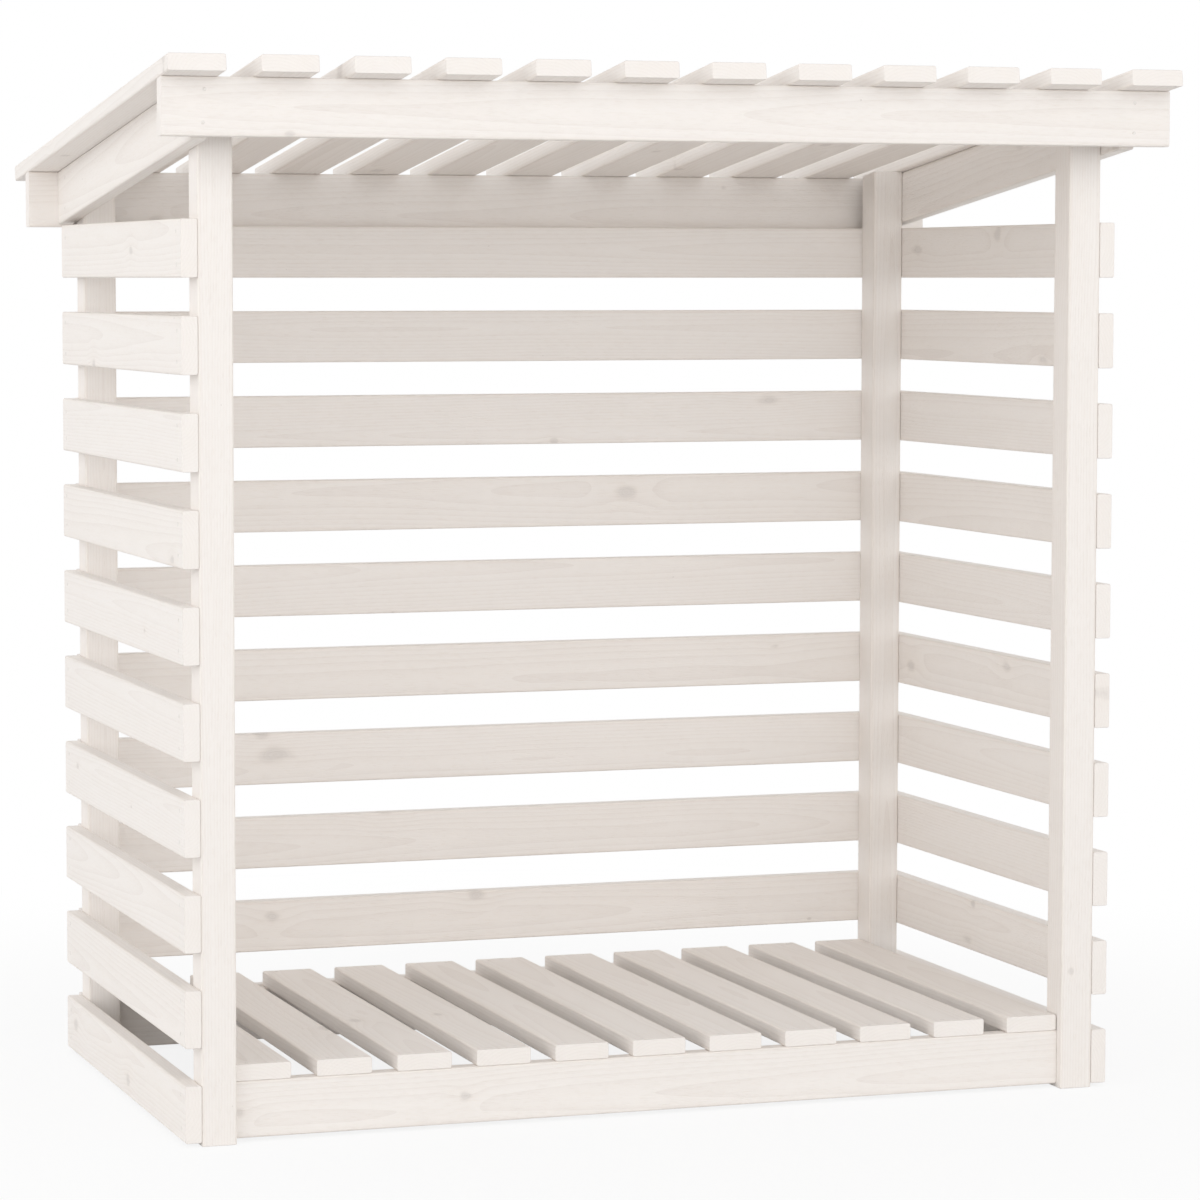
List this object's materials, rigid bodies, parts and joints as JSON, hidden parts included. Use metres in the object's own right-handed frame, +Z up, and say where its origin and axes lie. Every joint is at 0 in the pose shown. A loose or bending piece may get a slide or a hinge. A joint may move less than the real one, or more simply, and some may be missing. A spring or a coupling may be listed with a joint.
{
  "type": "log store",
  "caption": "Open-fronted outdoor log store with slatted sides, back and floor on square posts under a slatted lean-to roof that falls to the back.",
  "frame": {"origin": "on the ground under the middle of the whole store, roof overhangs included", "axes": "+Z up, the open front faces -Y, +X to the right seen from the front"},
  "size_m": [1.08, 0.73, 1.0799],
  "materials": {
    "posts": "white-stained planed pine, grain upright, satin",
    "wall_slats": "white-stained planed pine, grain along each slat, satin",
    "floor": "white-stained planed pine, grain along each board, satin",
    "roof_frame": "white-stained planed pine, grain along each board, satin",
    "roof_boards": "white-stained planed pine, grain along each board, satin"
  },
  "bodies": {
    "root": {"front_left_post": "posts", "front_right_post": "posts", "back_left_post": "posts", "back_right_post": "posts", "left_slat_1": "wall_slats", "left_slat_2": "wall_slats", "left_slat_3": "wall_slats", "left_slat_4": "wall_slats", "left_slat_5": "wall_slats", "left_slat_6": "wall_slats", "left_slat_7": "wall_slats", "left_slat_8": "wall_slats", "left_slat_9": "wall_slats", "left_slat_10": "wall_slats", "right_slat_1": "wall_slats", "right_slat_2": "wall_slats", "right_slat_3": "wall_slats", "right_slat_4": "wall_slats", "right_slat_5": "wall_slats", "right_slat_6": "wall_slats", "right_slat_7": "wall_slats", "right_slat_8": "wall_slats", "right_slat_9": "wall_slats", "right_slat_10": "wall_slats", "back_slats": "wall_slats", "front_floor_rail": "floor", "back_floor_rail": "floor", "floor_boards": "floor", "left_rafter": "roof_frame", "right_rafter": "roof_frame", "front_fascia": "roof_frame", "rear_fascia": "roof_frame", "roof_board_1": "roof_boards", "roof_board_2": "roof_boards", "roof_board_3": "roof_boards", "roof_board_4": "roof_boards", "roof_board_5": "roof_boards", "roof_board_6": "roof_boards", "roof_board_7": "roof_boards", "roof_board_8": "roof_boards", "roof_board_9": "roof_boards", "roof_board_10": "roof_boards", "roof_board_11": "roof_boards", "roof_board_12": "roof_boards"}
  },
  "joints": []
}
